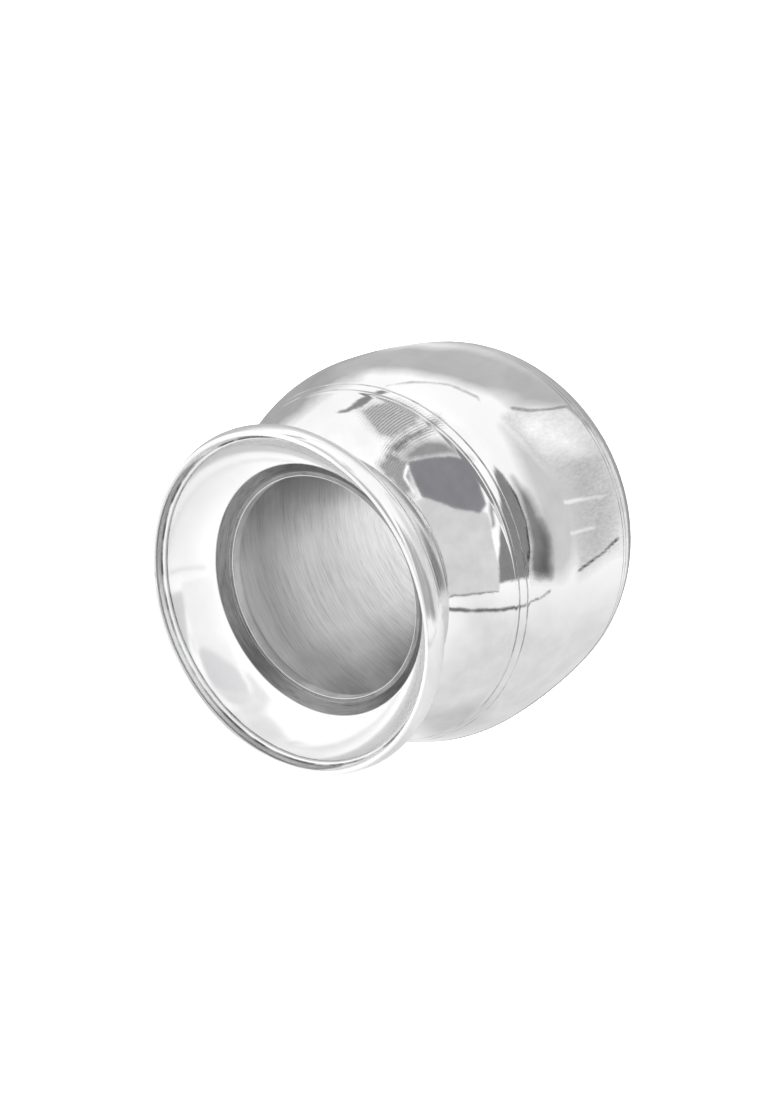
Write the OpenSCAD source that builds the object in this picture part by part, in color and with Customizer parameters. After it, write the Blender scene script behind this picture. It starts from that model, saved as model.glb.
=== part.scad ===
// Small round-bellied water pot (kalash) with a flared mouth, in polished white metal.
// It stands on its base: Z is the axis of the pot, and Z = 0 is the plane that it stands on.
// Each piece is spun or turned, so each is one outline, made of arcs, turned about Z.

/* [Body] */
// Widest diameter of the belly
belly_d = 75; // [66:0.5:90]
// Radius of the nearly upright side, seen from the side
side_r = 126; // [90:1:180]
// Slope at which the side passes into the shoulder, in degrees
side_up = 4.2; // [2:0.1:7]
// Slope at which the side passes into the lower bend, in degrees
side_down = 4.7; // [2:0.1:7]
// Radius of the shoulder, seen from the side
shoulder_r = 26.7; // [24:0.1:32]
// Radius of the lower bend, seen from the side
bend_r = 13.5; // [10:0.1:16]
// Radius of the bottom
dome_r = 45; // [40:0.5:60]
// Diameter of the flat that the pot stands on
base_d = 34; // [28:0.5:44]
// Diameter of the pushed-in middle of the base
dish_d = 25; // [16:0.5:26]
// Height by which the middle of the base is pushed in
dish_h = 0.5; // [0.2:0.1:1]
// Thickness of the sheet
wall = 0.8; // [0.6:0.05:1.2]

/* [Neck] */
// Inner diameter of the neck tube
throat_d = 39.6; // [34:0.2:46]
// Radius between the shoulder and the neck tube
neck_fillet = 1; // [0.6:0.1:2]
// Straight length of the neck tube
neck_rise = 1.4; // [1:0.1:4]
// Length by which the collar grips the neck tube
collar_grip = 1.2; // [0.6:0.1:2]
// Height of the collar above the neck tube, round the foot of the flare
collar_rise = 1.5; // [0.8:0.1:2.5]
// Outer diameter of the waist, the narrowest place outside
waist_d = 45.8; // [44:0.2:48]
// Radius of the hollow between the waist and the collar's shelf
cove_r = 1.3; // [0.8:0.1:1.4]

/* [Mouth] */
// Outer diameter of the rim
rim_d = 60; // [56:0.5:70]
// Width of the dull ring at the foot of the flare
ring_w = 1.75; // [0.8:0.05:3]
// Height of the dull ring at the foot of the flare
ring_h = 1.9; // [1.6:0.05:2.8]
// Height of the flare above the neck tube
flare_h = 8.4; // [6:0.05:11]
// Radius of the hollow flare, seen from the side
flare_r = 14; // [10:0.5:40]
// Width of the rim, from its outside to the edge of the flare
lip_w = 2.2; // [1.8:0.05:3]
// Radius of the thin bead on the edge of the flare
bead_r = 0.6; // [0.45:0.05:0.8]
// Radius of the round outside of the rim band
band_r = 3.7; // [3:0.1:5]
// Radius of the crest of the rim band
crest_r = 0.5; // [0.3:0.05:0.7]

/* [Engraved lines] */
// Distance of the upper pair of lines below the edge of the neck tube
upper_drop = 11.6; // [8:0.1:20]
// Distance of the body joint and its pair of lines below the widest place
lower_drop = 9.1; // [6:0.1:12]
// Distance between the two lines of a pair
line_gap = 1.25; // [0.8:0.05:2]
// Width of a line
line_w = 0.3; // [0.15:0.05:0.6]

/* [Solder] */
// Width of the solder between the two halves of the body
seam_w = 0.4; // [0.2:0.05:0.8]
// Size of the small solder fillets outside
fillet_s = 0.8; // [0.4:0.05:1]

/* [Hidden] */
$fn = 180;
// Fineness of the wide, shallow arcs
wide_fn = 1440;
// How far an arc stands out over its neighbour, so that the two always cross
lap = 0.002;
// How far the flare's ring and its arc run on past the edge where they meet
ring_lap = 0.2;

// Slopes at the ends of the rim band's round outside, and the places on the bead, in degrees
crest_slope = 35;
band_low_slope = 58;
bead_tuck = 36;
bead_crease = 75;
// Height of the bead over the middle of the rim band
bead_lift = 0.2;
// How steeply the pushed-in middle of the base rises
dish_run = 1.6;
// Bare width left on the collar's shelf, and where the thin edge of the neck solder ends
shelf_margin = 0.1;
solder_stop = 0.6;

function polar(r, a) = [r * cos(a), r * sin(a)];
function angle_of(p) = atan2(p.y, p.x);
function across(circle_x, r, dx) = sqrt(pow(r, 2) - pow(dx - circle_x, 2));

// Centres of the body's arcs, first from the widest place, then from the base
side_x = belly_d / 2 - side_r;
bend_from_side = polar(side_r - bend_r, -side_down);
bend_x = side_x + bend_from_side.x;
dome_up = across(0, dome_r - bend_r, bend_x);
dome_z = across(0, dome_r, base_d / 2);
bend_z = dome_z - dome_up;
belly_z = bend_z - bend_from_side.y;
side_c = [side_x, belly_z];
bend_c = [bend_x, bend_z];
dome_c = [0, dome_z];
shoulder_c = side_c + polar(side_r - shoulder_r, side_up);
dome_slope = -angle_of(bend_c - dome_c);

// The neck tube, and the small arc that joins it to the shoulder
throat_r = throat_d / 2;
tube_r = throat_r + wall;
fillet_c = [tube_r + neck_fillet,
            shoulder_c.y + across(shoulder_c.x, shoulder_r + neck_fillet, tube_r + neck_fillet)];
neck_slope = angle_of(fillet_c - shoulder_c);
tube_top = fillet_c.y + neck_rise;

// The collar grips the tube and reaches up round the foot of the flare
collar_low = tube_top - collar_grip;
shelf_z = tube_top + collar_rise;

// The hollow of the neck solder starts at the waist and ends on the shoulder
waist_r = waist_d / 2;
waist_from = [waist_r, collar_low] - shoulder_c;
hollow_r = (pow(norm(waist_from), 2) - pow(shoulder_r, 2)) / 2 / (shoulder_r - waist_from.x);
hollow_c = [waist_r + hollow_r, collar_low];
hollow_end = shoulder_c + polar(shoulder_r, angle_of(hollow_c - shoulder_c));

// The flare: a straight ring from the edge of the neck tube, then a hollow arc up to the crease
// under the bead
rim_r = rim_d / 2;
foot = [tube_r, tube_top];
ring_edge = foot + [ring_w, ring_h];
crease = [rim_r - lip_w, tube_top + flare_h];
chord = crease - ring_edge;
chord_side = [-chord.y, chord.x] / norm(chord);
flare_c = (ring_edge + crease) / 2 + chord_side * across(0, flare_r, norm(chord) / 2);
bead_c = crease + polar(bead_r, bead_tuck);
bead_angle = angle_of(bead_c - flare_c);
shelf_side = flare_back(shelf_z);
collar_r = shelf_side + fillet_s + shelf_margin;

// The rim band
band_c = [rim_r - band_r, bead_c.y - bead_lift];
crest_c = band_c + polar(band_r - crest_r, crest_slope);
band_low = band_c.y - band_r * sin(band_low_slope);
band_side = flare_back(band_low);
pot_h = crest_c.y + crest_r;

// Radius of the back of the flare at a height: its straight ring or its arc, whichever is wider
function ring_side(z, depth) = tube_r + depth * norm([ring_w, ring_h]) / ring_h
    + (z - tube_top) * ring_w / ring_h;
function flare_back(z) = max(flare_c.x + across(flare_c.y, flare_r + wall, z),
                             z < ring_edge.y ? ring_side(z, wall) : 0);

// Radius of the body at a height, on a face that lies inside the outer one by the given depth
function body_r(z, inside) =
    z > shoulder_c.y + (shoulder_r - inside) * sin(side_up) ?
        shoulder_c.x + across(shoulder_c.y, shoulder_r - inside, z) :
    z > bend_c.y - (bend_r - inside) * sin(side_down) ?
        side_c.x + across(side_c.y, side_r - inside, z) :
        bend_c.x + across(bend_c.y, bend_r - inside, z);

joint_z = belly_z - lower_drop;
upper_z = tube_top - upper_drop;

module turned() {
    rotate_extrude(convexity = 6) children();
}

module box_2d(low, high) {
    translate(low) square(high - low);
}

module cut_line(z) {
    translate([body_r(z, 0), z]) circle(r = line_w / 2, $fn = 32);
}

// The body without its hollow, or the hollow itself when drawn one wall inside
module body_fill(inside) {
    side_low = bend_c.y - (bend_r - inside) * sin(side_down);
    side_high = shoulder_c.y + (shoulder_r - inside) * sin(side_up);
    dome_high = bend_c.y - (bend_r - inside) * sin(dome_slope);
    neck_low = shoulder_c + polar(shoulder_r - inside, neck_slope);
    intersection() {
        translate(side_c) circle(r = side_r - inside, $fn = wide_fn);
        box_2d([0, side_low], [belly_d, side_high]);
    }
    intersection() {
        union() {
            translate(shoulder_c) circle(r = shoulder_r - inside + lap);
            translate(bend_c) circle(r = bend_r - inside + lap);
        }
        box_2d([0, 0], [belly_d, fillet_c.y]);
    }
    intersection() {
        translate(dome_c) circle(r = dome_r - inside);
        box_2d([0, inside], [belly_d, dome_high]);
    }
    box_2d([0, dome_high - wall], [bend_c.x, side_low + wall]);
    difference() {
        box_2d([0, side_high], [neck_low.x, fillet_c.y]);
        translate(fillet_c) circle(r = neck_fillet + inside);
    }
    box_2d([0, side_high], [tube_r - inside, tube_top + inside]);
}

// The sheet of the whole body, from the base to the top of the neck tube
module body_sheet() {
    dish_r = dish_d / 2;
    difference() {
        body_fill(0);
        difference() {
            body_fill(wall);
            dish(dish_r + wall / 2, wall);
        }
        dish(dish_r, 0);
    }
}

// The pushed-in middle of the base
module dish(r, z) {
    polygon([[0, z], [r, z], [r - dish_h * dish_run, z + dish_h], [0, z + dish_h]]);
}

module lower_bowl() {
    color([0.83, 0.83, 0.84]) turned() difference() {
        sheet_between(0, joint_z - seam_w / 2);
        cut_line(joint_z - line_gap / 2);
    }
}

module shoulder_shell() {
    color([0.87, 0.87, 0.88]) turned() difference() {
        sheet_between(joint_z + seam_w / 2, pot_h);
        cut_line(joint_z + line_gap / 2);
        cut_line(upper_z);
        cut_line(upper_z - line_gap);
    }
}

// Solder that joins the two halves of the body, dressed flush on both sides
module body_solder() {
    color([0.7, 0.69, 0.66]) turned() sheet_between(joint_z - seam_w / 2, joint_z + seam_w / 2);
}

module sheet_between(low, high) {
    intersection() {
        body_sheet();
        box_2d([0, low], [belly_d, high]);
    }
}

// Turned ring that grips the neck tube and holds the foot of the flare
module neck_collar() {
    cove_x = waist_r + cove_r;
    color([0.62, 0.62, 0.63]) turned() difference() {
        box_2d([tube_r, collar_low], [collar_r, shelf_z]);
        flare_fill(wall, bead_angle);
        translate([cove_x, collar_low]) circle(r = cove_r, $fn = 64);
        box_2d([cove_x, collar_low - cove_r], [collar_r + cove_r, collar_low + cove_r]);
    }
}

module mouth_flare() {
    color([0.9, 0.9, 0.91]) turned() flare_sheet();
}

module flare_sheet() {
    intersection() {
        difference() {
            flare_fill(wall, bead_angle);
            flare_fill(0, 0);
        }
        box_2d([tube_r, tube_top], [rim_r, pot_h]);
    }
    translate(bead_c) circle(r = bead_r, $fn = 64);
}

// All that the flare encloses, out to the given depth behind its inner face, up to the given angle
module flare_fill(depth, top) {
    ring_end = ring_edge.y + ring_lap - depth / 2;
    reach = 2 * flare_r;
    translate(flare_c) intersection() {
        circle(r = flare_r + depth, $fn = wide_fn);
        polygon([[0, 0], [-reach, -reach], [0, -reach], polar(reach, top)]);
        box_2d([-reach, ring_edge.y - ring_lap - depth - flare_c.y], [reach, reach]);
    }
    polygon([[0, tube_top], [ring_side(tube_top, depth), tube_top],
             [ring_side(ring_end, depth), ring_end], [0, ring_end]]);
}

// The same, together with the bead on the edge
module flare_inside() {
    flare_fill(wall, bead_angle);
    translate(bead_c) circle(r = bead_r, $fn = 64);
}

// Half-round band soldered round the edge of the flare
module rim_band() {
    crest_side = crest_c - [crest_r, 0];
    crest_far = band_c + polar(band_r + 1, crest_slope);
    bead_top = bead_c + polar(bead_r - lap, 180 - bead_crease);
    color([0.88, 0.88, 0.89]) turned() difference() {
        union() {
            intersection() {
                translate(band_c) circle(r = band_r);
                polygon([[tube_r, band_low], [rim_r + 1, band_low], [rim_r + 1, crest_far.y], crest_far,
                         crest_c, crest_side, bead_top, bead_c]);
            }
            translate(crest_c) circle(r = crest_r, $fn = 64);
        }
        flare_inside();
    }
}

// Solder between the shoulder and the underside of the collar
module neck_solder() {
    color([0.7, 0.69, 0.66]) turned() difference() {
        box_2d([tube_r, fillet_c.y - 2 * neck_fillet - hollow_r], [hollow_end.x - solder_stop, collar_low]);
        body_fill(0);
        translate(hollow_c) circle(r = hollow_r);
    }
}

// Solder in the corner between the foot of the flare and the collar's shelf
module flare_solder() {
    color([0.7, 0.69, 0.66]) turned() corner_fillet([shelf_side, shelf_z], 1);
}

// Solder in the corner between the underside of the rim band and the flare
module rim_solder() {
    color([0.7, 0.69, 0.66]) turned() corner_fillet([band_side, band_low], -1);
}

// The fillet lies above the corner where up is 1, and below it where up is -1
module corner_fillet(corner, up) {
    difference() {
        polygon([corner - [fillet_s, 0], corner + [fillet_s, 0], corner + [0, up * fillet_s],
                 corner + [-fillet_s, up * fillet_s]]);
        flare_inside();
    }
}

lower_bowl();
shoulder_shell();
neck_collar();
mouth_flare();
rim_band();
body_solder();
neck_solder();
flare_solder();
rim_solder();
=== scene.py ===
import math
import bmesh
import bpy
from mathutils import Matrix, Vector


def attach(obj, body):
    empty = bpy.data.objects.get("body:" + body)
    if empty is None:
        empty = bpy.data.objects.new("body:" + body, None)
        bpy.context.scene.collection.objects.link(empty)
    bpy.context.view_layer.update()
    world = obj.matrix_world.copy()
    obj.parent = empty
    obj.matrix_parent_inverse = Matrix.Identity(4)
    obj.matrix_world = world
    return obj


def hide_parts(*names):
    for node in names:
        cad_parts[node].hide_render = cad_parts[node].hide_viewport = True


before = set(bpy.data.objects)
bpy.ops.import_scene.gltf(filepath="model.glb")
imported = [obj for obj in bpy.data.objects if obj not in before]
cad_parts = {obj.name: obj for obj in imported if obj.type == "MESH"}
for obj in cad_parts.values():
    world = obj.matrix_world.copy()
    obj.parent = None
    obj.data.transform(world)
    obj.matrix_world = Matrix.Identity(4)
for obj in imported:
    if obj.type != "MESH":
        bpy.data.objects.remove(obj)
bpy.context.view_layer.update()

mm = 0.001
scene = bpy.context.scene
print("kalash: frame loaded")


# Small drawing helpers, all in millimetres on the half section (radius, height)

def polar(r, degrees):
    return Vector((r * math.cos(math.radians(degrees)), r * math.sin(math.radians(degrees))))


def slope(v):
    return math.degrees(math.atan2(v.y, v.x))


def reach(r, dx):
    return math.sqrt(r * r - dx * dx)


def arc(centre, r, start, end, step):
    count = max(3, int(abs(math.radians(end - start)) * r / step) + 1)
    return [centre + polar(r, start + (end - start) * i / count) for i in range(count + 1)]


def line(start, end, step):
    count = max(1, int((end - start).length / step))
    return [start.lerp(end, i / count) for i in range(count + 1)]


def joined(*runs):
    points = []
    for run in runs:
        for p in run:
            if not points or (p - points[-1]).length > 0.004:
                points.append(Vector(p))
    if (points[0] - points[-1]).length < 0.004:
        points.pop()
    return points


# The body: one outline for both shells, worked out from these sizes

body = {
    "bellyDiameter": 75, "sideRadius": 126, "sideUp": 4.2, "sideDown": 4.7,
    "shoulderRadius": 26.7, "bendRadius": 13.5, "domeRadius": 45,
    "baseDiameter": 34, "dishDiameter": 25, "dishHeight": 0.5, "dishRun": 1.6,
    "wall": 0.8, "throatDiameter": 39.6, "neckFillet": 1, "neckRise": 1.4,
    "upperDrop": 11.6, "lowerDrop": 9.1, "lineGap": 1.25, "lineWidth": 0.22, "seamWidth": 0.4,
    "outerStep": 0.45, "innerStep": 0.9, "filletStep": 0.12, "tubeStep": 0.3, "flatStep": 1.5, "footStep": 1.0,
    "cornerRound": 0.1, "footRound": 0.4, "footMargin": 0.4,
}


def placeBody(s):
    sideX = s["bellyDiameter"] / 2 - s["sideRadius"]
    fromSide = polar(s["sideRadius"] - s["bendRadius"], -s["sideDown"])
    bendX = sideX + fromSide.x
    domeZ = reach(s["domeRadius"], s["baseDiameter"] / 2)
    bendZ = domeZ - reach(s["domeRadius"] - s["bendRadius"], bendX)
    p = {"side": Vector((sideX, bendZ - fromSide.y)), "bend": Vector((bendX, bendZ)), "dome": Vector((0, domeZ))}
    p["shoulder"] = p["side"] + polar(s["sideRadius"] - s["shoulderRadius"], s["sideUp"])
    p["domeSlope"] = slope(p["bend"] - p["dome"])
    p["tube"] = s["throatDiameter"] / 2 + s["wall"]
    filletX = p["tube"] + s["neckFillet"]
    rise = reach(s["shoulderRadius"] + s["neckFillet"], filletX - p["shoulder"].x)
    p["fillet"] = Vector((filletX, p["shoulder"].y + rise))
    p["neckSlope"] = slope(p["fillet"] - p["shoulder"])
    p["tubeTop"] = p["fillet"].y + s["neckRise"]
    p["joint"] = p["side"].y - s["lowerDrop"]
    p["upper"] = p["tubeTop"] - s["upperDrop"]
    return p


place = placeBody(body)
halfSeam = body["seamWidth"] / 2


def sideAngle(z, depth):
    return math.degrees(math.asin((z - place["side"].y) / (body["sideRadius"] - depth)))


def lowerRun(depth, step):
    # from the rim of the base up to the body joint, on a face that lies deeper than the outer one by depth
    start = slope(Vector((body["baseDiameter"] / 2, 0)) - place["dome"])
    if depth:
        half = reach(body["domeRadius"] - depth, place["dome"].y - depth)
        start = slope(Vector((half, depth)) - place["dome"])
    return joined(
        arc(place["dome"], body["domeRadius"] - depth, start, place["domeSlope"], step),
        arc(place["bend"], body["bendRadius"] - depth, place["domeSlope"], -body["sideDown"], step * 0.8),
        arc(place["side"], body["sideRadius"] - depth, -body["sideDown"],
            sideAngle(place["joint"] - halfSeam, depth), step))


def upperRun(depth, step):
    # from the body joint up to the end of the neck tube
    return joined(
        arc(place["side"], body["sideRadius"] - depth,
            sideAngle(place["joint"] + halfSeam, depth), body["sideUp"], step),
        arc(place["shoulder"], body["shoulderRadius"] - depth, body["sideUp"], place["neckSlope"], step),
        arc(place["fillet"], body["neckFillet"] + depth, place["neckSlope"] - 180, -180, body["filletStep"]),
        line(Vector((place["tube"] - depth, place["fillet"].y)), Vector((place["tube"] - depth, place["tubeTop"])),
             body["tubeStep"]))


# section of an engraved line in half widths (along the outline, into the sheet), and how dark its bottom is
engraving = {
    "section": [(-4.5, 0), (-2.2, 0), (-1.35, 0), (-1, 0.06), (-0.75, 0.5), (-0.4, 0.85), (0, 1),
                (0.4, 0.85), (0.75, 0.5), (1, 0.06), (1.35, 0), (2.2, 0), (4.5, 0)],
    "clearance": 4.7, "tarnish": 0.6,
}


def engrave(points, heights, width):
    # a round-bottomed line cut into the outline at each height
    half = width / 2
    marks = []
    for z in heights:
        i = next(k for k in range(len(points) - 1) if (points[k].y - z) * (points[k + 1].y - z) <= 0)
        a, b = points[i], points[i + 1]
        centre = a.lerp(b, (z - a.y) / (b.y - a.y))
        along = (b - a).normalized()
        inward = Vector((-along.y, along.x))
        marks.append((centre, [(centre + along * u * half + inward * v * half, engraving["tarnish"] if v else 0.0)
                               for u, v in engraving["section"]]))
    kept, used = [], set()
    for p in points:
        near = [m for m, (centre, _) in enumerate(marks) if (p - centre).length < engraving["clearance"] * half]
        if not near:
            kept.append((p, 0.0))
        for m in near:
            if m not in used:
                used.add(m)
                kept += marks[m][1]
    return kept


rounding = {"fromAngle": 18, "share": 0.3, "guards": (3.0, 1.5), "guardRoom": 1.4, "points": 5}


def eased(points, radius, closed=True):
    # puts a small round on every corner, with points close beside it so that the faces next to it stay true
    out, n = [], len(points)
    for i, (p, worn) in enumerate(points):
        if not closed and i in (0, n - 1):
            out.append((p, worn))
            continue
        before, after = points[i - 1][0], points[(i + 1) % n][0]
        a, b = p - before, after - p
        turn = a.angle_signed(b) if a.length > 1e-6 and b.length > 1e-6 else 0
        if abs(turn) < math.radians(rounding["fromAngle"]) or worn > 0.5:
            out.append((p, worn))
            continue
        cut = min(radius * math.tan(abs(turn) / 2), a.length * rounding["share"], b.length * rounding["share"])
        start, end = p - a.normalized() * cut, p + b.normalized() * cut
        for guard in rounding["guards"]:
            if a.length > cut * guard * rounding["guardRoom"]:
                out.append((p - a.normalized() * cut * guard, worn))
        for k in range(rounding["points"]):
            t = k / (rounding["points"] - 1)
            out.append((start.lerp(p, t).lerp(p.lerp(end, t), t), worn))
        for guard in reversed(rounding["guards"]):
            if b.length > cut * guard * rounding["guardRoom"]:
                out.append((p + b.normalized() * cut * guard, worn))
    return out


def plain(points):
    return [(p, 0.0) for p in points]


# Node helpers

def feed(tree, socket, value):
    # an output is linked to the socket, any other value is set on it
    if isinstance(value, bpy.types.NodeSocket):
        tree.links.new(value, socket)
    else:
        socket.default_value = (*value, 1) if socket.type == "RGBA" else value


def addNode(tree, kind, at, inputs={}, **settings):
    node = tree.nodes.new(kind)
    node.location = at
    for key, value in settings.items():
        setattr(node, key, value)
    for key, value in inputs.items():
        feed(tree, node.inputs[key], value)
    return node


def calc(tree, operation, at, a, b=None):
    inputs = {0: a} if b is None else {0: a, 1: b}
    return addNode(tree, "ShaderNodeMath", at, inputs, operation=operation).outputs[0]


# One Geometry Nodes lathe turns every outline, with faint dents from the spinning

lathe = {
    "segments": 288, "turnRadius": 0.05, "weld": 1e-6, "sharpAngle": 50,
    "dentHeight": 9e-6, "dentSize": 0.016, "dentDetail": 2, "dentRoughness": 0.45, "seed": 5,
}


def buildLathe():
    tree = bpy.data.node_groups.new("latheSpin", "GeometryNodeTree")
    tree.interface.new_socket("Geometry", in_out="OUTPUT", socket_type="NodeSocketGeometry")
    for label, kind in (("Geometry", "Geometry"), ("Segments", "Int"), ("Turn Radius", "Float"),
                        ("Dent Height", "Float"), ("Dent Size", "Float"), ("Seed", "Int"),
                        ("Sharp Angle", "Float"), ("Material", "Material")):
        tree.interface.new_socket(label, in_out="INPUT", socket_type="NodeSocket" + kind)
    given = addNode(tree, "NodeGroupInput", (-1400, 0)).outputs
    back = calc(tree, "MULTIPLY", (-1200, -200), given["Turn Radius"], -1)
    shift = addNode(tree, "ShaderNodeCombineXYZ", (-1000, -200), {"X": back})
    move = addNode(tree, "GeometryNodeTransform", (-800, 0), {
        "Geometry": given["Geometry"], "Translation": shift.outputs[0]})
    outline = addNode(tree, "GeometryNodeMeshToCurve", (-600, 0), {"Mesh": move.outputs[0]})
    ring = addNode(tree, "GeometryNodeCurvePrimitiveCircle", (-800, 300), {
        "Resolution": given["Segments"], "Radius": given["Turn Radius"]})
    spin = addNode(tree, "GeometryNodeCurveToMesh", (-400, 100), {
        "Curve": ring.outputs["Curve"], "Profile Curve": outline.outputs["Curve"]})
    weld = addNode(tree, "GeometryNodeMergeByDistance", (-200, 100), {
        "Geometry": spin.outputs[0], "Distance": lathe["weld"]})

    # dents: low noise pushes the sheet along its normal
    where = addNode(tree, "GeometryNodeInputPosition", (-900, -500)).outputs[0]
    noise = addNode(tree, "ShaderNodeTexNoise", (-650, -500), noise_dimensions="4D", inputs={
        "Vector": where, "Scale": calc(tree, "DIVIDE", (-900, -650), 1, given["Dent Size"]), "W": given["Seed"],
        "Detail": lathe["dentDetail"], "Roughness": lathe["dentRoughness"]})
    centred = calc(tree, "SUBTRACT", (-450, -500), noise.outputs[0], 0.5)
    push = addNode(tree, "ShaderNodeVectorMath", (-50, -500), operation="SCALE", inputs={
        0: addNode(tree, "GeometryNodeInputNormal", (-250, -700)).outputs[0],
        "Scale": calc(tree, "MULTIPLY", (-250, -500), centred, given["Dent Height"])})
    dent = addNode(tree, "GeometryNodeSetPosition", (50, 100), {
        "Geometry": weld.outputs[0], "Offset": push.outputs[0]})

    # smooth faces, with real corners kept sharp
    smooth = addNode(tree, "GeometryNodeSetShadeSmooth", (250, 100), domain="FACE", inputs={
        "Geometry": dent.outputs[0], "Shade Smooth": True})
    angle = addNode(tree, "GeometryNodeInputMeshEdgeAngle", (50, -200)).outputs["Unsigned Angle"]
    corners = addNode(tree, "GeometryNodeSetShadeSmooth", (450, 100), domain="EDGE", inputs={
        "Geometry": smooth.outputs[0], "Shade Smooth": False,
        "Selection": calc(tree, "GREATER_THAN", (250, -200), angle, given["Sharp Angle"])})
    real = addNode(tree, "GeometryNodeRealizeInstances", (650, 100), {0: corners.outputs[0]})
    paint = addNode(tree, "GeometryNodeSetMaterial", (850, 100), {
        "Geometry": real.outputs[0], "Material": given["Material"]})
    addNode(tree, "NodeGroupOutput", (1050, 100), {0: paint.outputs[0]})
    return tree


latheTree = buildLathe()


def spinPiece(name, points, material, closed=True, satin=None, dull=None, seed=0):
    mesh = bpy.data.meshes.new(name + "Outline")
    verts = [(p.x * mm, -p.y * mm, 0) for p, _ in points]
    edges = [(i, i + 1) for i in range(len(verts) - 1)] + ([(len(verts) - 1, 0)] if closed else [])
    mesh.from_pydata(verts, edges, [])
    for label, where in (("satin", satin), ("dull", dull)):
        mask = mesh.attributes.new(label, "FLOAT", "POINT")
        for i, (p, _) in enumerate(points):
            mask.data[i].value = 1.0 if where and where(p) else 0.0
    worn = mesh.attributes.new("groove", "FLOAT", "POINT")
    for i, (_, groove) in enumerate(points):
        worn.data[i].value = groove
    shape = bpy.data.objects.new(name + "Turning", mesh)
    scene.collection.objects.link(shape)
    nodes = shape.modifiers.new("lathe", "NODES")
    nodes.node_group = latheTree
    values = {"Segments": lathe["segments"], "Turn Radius": lathe["turnRadius"], "Dent Height": lathe["dentHeight"],
              "Dent Size": lathe["dentSize"], "Seed": lathe["seed"] + seed,
              "Sharp Angle": math.radians(lathe["sharpAngle"]), "Material": material}
    for item in latheTree.interface.items_tree:
        if item.in_out == "INPUT" and item.name in values:
            nodes[item.identifier] = values[item.name]
    ready = shape.evaluated_get(bpy.context.evaluated_depsgraph_get())
    turned = bpy.data.meshes.new_from_object(ready)
    bpy.data.objects.remove(shape)
    turned.name = name
    if signedVolume(turned) < 0:
        turned.flip_normals()
    piece = bpy.data.objects.new(name, turned)
    scene.collection.objects.link(piece)
    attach(piece, "root")
    print("turned", name, len(turned.polygons), "faces")
    return piece


def signedVolume(mesh):
    check = bmesh.new()
    check.from_mesh(mesh)
    volume = check.calc_volume(signed=True)
    check.free()
    return volume


# Finishes

def emptyTree(name):
    material = bpy.data.materials.new(name)
    material.use_nodes = True
    material.node_tree.nodes.clear()
    return material, material.node_tree


def shaderTree(name):
    material, tree = emptyTree(name)
    shader = addNode(tree, "ShaderNodeBsdfPrincipled", (600, 0))
    addNode(tree, "ShaderNodeOutputMaterial", (900, 0), {"Surface": shader.outputs[0]})
    return material, tree, shader


def noiseMap(tree, vector, at, scale, detail=2, rough=0.5, distortion=0.0):
    return addNode(tree, "ShaderNodeTexNoise", at, {
        "Vector": vector, "Scale": scale, "Detail": detail,
        "Roughness": rough, "Distortion": distortion}).outputs["Fac"]


def maskNode(tree, label, at):
    return addNode(tree, "ShaderNodeAttribute", at, attribute_name=label).outputs["Fac"]


def ramp(tree, value, at, low, high, start=0.0, end=1.0):
    return addNode(tree, "ShaderNodeMapRange", at, {
        "Value": value, "From Min": low, "From Max": high, "To Min": start, "To Max": end}).outputs[0]


def blend(tree, at, factor, a, b, kind="FLOAT"):
    node = addNode(tree, "ShaderNodeMix", at, {"Factor": factor}, data_type=kind)
    for socket, value in zip([i for i in node.inputs if i.enabled and i.name in "AB"], (a, b)):
        feed(tree, socket, value)
    return [o for o in node.outputs if o.enabled][0]


# brushing runs round the pot: how far the pattern moves in one turn, and how much of the radius counts as height
brushing = {"around": 0.0014, "radiusShare": 0.43}


def turnedCoordinates(tree):
    # direction round the pot, and distance along the sheet
    place3d = addNode(tree, "ShaderNodeTexCoord", (-1900, 0)).outputs["Object"]
    parts = addNode(tree, "ShaderNodeSeparateXYZ", (-1700, -200), {0: place3d}).outputs
    flat = addNode(tree, "ShaderNodeVectorMath", (-1700, 200), operation="MULTIPLY", inputs={
        0: place3d, 1: (1, 1, 0)}).outputs[0]
    radius = addNode(tree, "ShaderNodeVectorMath", (-1500, 350), {0: flat}, operation="LENGTH").outputs["Value"]
    unit = addNode(tree, "ShaderNodeVectorMath", (-1500, 150), {0: flat}, operation="NORMALIZE").outputs[0]
    turn = addNode(tree, "ShaderNodeSeparateXYZ", (-1300, 150), {0: unit}).outputs
    outward = calc(tree, "MULTIPLY", (-1450, -50), radius, brushing["radiusShare"])
    both = {"Z": calc(tree, "ADD", (-1300, -150), parts["Z"], outward)}
    for axis, height in (("X", 200), ("Y", 100)):
        both[axis] = calc(tree, "MULTIPLY", (-1200, height), turn[axis], brushing["around"])
    return place3d, addNode(tree, "ShaderNodeCombineXYZ", (-1100, 0), both).outputs[0]


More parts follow.
